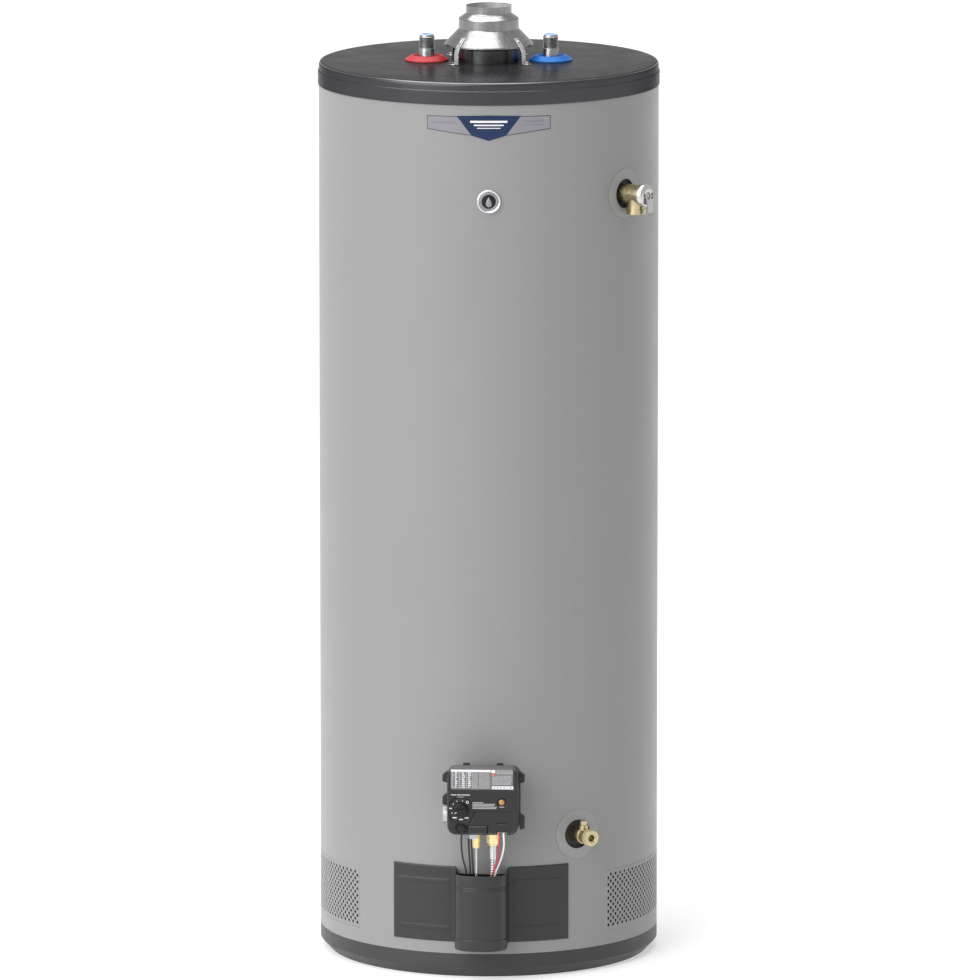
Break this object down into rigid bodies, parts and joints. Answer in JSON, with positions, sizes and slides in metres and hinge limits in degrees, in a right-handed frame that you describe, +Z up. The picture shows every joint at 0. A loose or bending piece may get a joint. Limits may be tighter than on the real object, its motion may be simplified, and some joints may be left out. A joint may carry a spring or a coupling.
{
  "type": "tank water heater",
  "caption": "Tall gas storage water heater: round jacket, top draft hood and pipe nipples, front gas control over a burner cover, side relief and drain valves.",
  "frame": {"origin": "on the floor at the tank axis, the centre of the base pan's underside", "axes": "+Z up along the tank axis towards the vent collar; the front with the gas control faces -Y; +X is towards the cold inlet, the viewer's right from the front"},
  "size_m": [0.5619, 0.6656, 1.573],
  "materials": {
    "base_paint": "satin",
    "jacket_paint": "satin",
    "cap_paint": "satin",
    "cover_paint": "satin",
    "foam": "matte",
    "tank_enamel": "gloss",
    "spud_steel": "satin",
    "flue_steel": "satin",
    "collar_steel": "polished",
    "galvanised": "satin",
    "screw_zinc": "gloss",
    "nipple_steel": "satin",
    "red_plastic": "gloss",
    "blue_plastic": "gloss",
    "liner_plastic": "gloss",
    "anode_alloy": "matte",
    "badge_silver": "satin",
    "badge_blue": "satin",
    "emblem_chrome": "polished",
    "brass": "satin",
    "bonnet_metal": "satin",
    "spring_steel": "satin",
    "lever_steel": "satin",
    "ball_chrome": "polished",
    "trim_grey": "satin",
    "control_casting": "satin",
    "housing_plastic": "satin",
    "control_plastic": "satin",
    "label_plastic": "satin",
    "knob_plastic": "satin",
    "lens_amber": "gloss",
    "connector_white": "gloss",
    "tube_aluminium": "satin",
    "nut_brass": "satin",
    "wire_black": "satin",
    "wire_red": "satin",
    "wire_white": "satin",
    "door_steel": "satin",
    "sight_glass": "gloss",
    "grommet_rubber": "matte",
    "chamber_steel": "satin",
    "burner_steel": "satin"
  },
  "bodies": {
    "heater": {"base_pan": "base_paint", "jacket": "jacket_paint", "left_vent_screen": "jacket_paint", "right_vent_screen": "jacket_paint", "top_cap": "cap_paint", "foam_insulation": "foam", "tank_shell": "tank_enamel", "tank_top_head": "tank_enamel", "tank_bottom_head": "tank_enamel", "tank_spuds": "spud_steel", "flue_tube": "flue_steel", "flue_baffle": "flue_steel", "flue_collar": "collar_steel", "draft_hood": "galvanised", "draft_hood_legs": "galvanised", "draft_hood_screws": "screw_zinc", "hot_nipple": "nipple_steel", "cold_nipple": "nipple_steel", "hot_ring": "red_plastic", "cold_ring": "blue_plastic", "hot_nipple_liner": "liner_plastic", "dip_tube": "liner_plastic", "anode_rod": "anode_alloy", "name_badge": "badge_silver", "badge_shield": "badge_blue", "round_emblem": "emblem_chrome", "relief_valve_body": "brass", "relief_valve_bonnet": "bonnet_metal", "relief_valve_spring": "spring_steel", "relief_trim_ring": "trim_grey", "drain_valve_body": "brass", "drain_trim_ring": "trim_grey", "gas_control_shank": "control_casting", "gas_control_body": "control_casting", "gas_control_housing": "housing_plastic", "gas_control_cover": "control_plastic", "control_label_plate": "label_plastic", "status_lens": "lens_amber", "wire_connector": "connector_white", "pilot_tube": "tube_aluminium", "burner_tube": "tube_aluminium", "tube_nuts": "nut_brass", "igniter_wire": "wire_black", "sensor_wires": "wire_black", "red_wire": "wire_red", "white_wire": "wire_white", "inner_door": "door_steel", "sight_glass": "sight_glass", "pipe_grommet": "grommet_rubber", "combustion_chamber": "chamber_steel", "main_burner": "burner_steel"},
    "access_cover": {"access_cover": "cover_paint", "wire_channel": "cover_paint"},
    "temperature_knob": {"temperature_knob": "knob_plastic"},
    "igniter_button": {"igniter_button": "knob_plastic"},
    "relief_stem": {"relief_valve_stem": "brass", "relief_lever_pin": "lever_steel"},
    "relief_lever": {"relief_lever": "lever_steel"},
    "drain_stem": {"drain_valve_stem": "brass", "drain_valve_ball": "ball_chrome"}
  },
  "joints": [
    {"name": "cover_pull", "type": "slide", "parent": "heater", "child": "access_cover", "axis": [-0.0523, -0.9986, 0], "range_m": [0, 0.12]},
    {"name": "knob_turn", "type": "hinge", "parent": "heater", "child": "temperature_knob", "pos_m": [-0.04579, -0.37311, 0.3007], "axis": [-0.0523, -0.9986, 0], "range_deg": [-135, 135]},
    {"name": "igniter_press", "type": "slide", "parent": "heater", "child": "igniter_button", "axis": [0.0523, 0.9986, 0], "range_m": [0, 0.003], "stiffness_N_per_m": 500, "springref_m": -0.002},
    {"name": "relief_lift", "type": "hinge", "parent": "relief_stem", "child": "relief_lever", "pos_m": [0.26187, -0.19949, 1.2855], "axis": [-0.606, -0.7955, 0], "range_deg": [0, 90]},
    {"name": "relief_stem_slide", "type": "slide", "parent": "heater", "child": "relief_stem", "axis": [0.7955, -0.606, 0], "range_m": [0, 0.003], "stiffness_N_per_m": 2000, "springref_m": -0.005},
    {"name": "drain_turn", "type": "hinge", "parent": "heater", "child": "drain_stem", "pos_m": [0.15495, -0.25385, 0.234], "axis": [0, 0, 1], "range_deg": [0, 90]}
  ],
  "couplings": [
    {"joint": "relief_lift", "follows": "relief_stem_slide", "rad_per_m": 523.59}
  ]
}
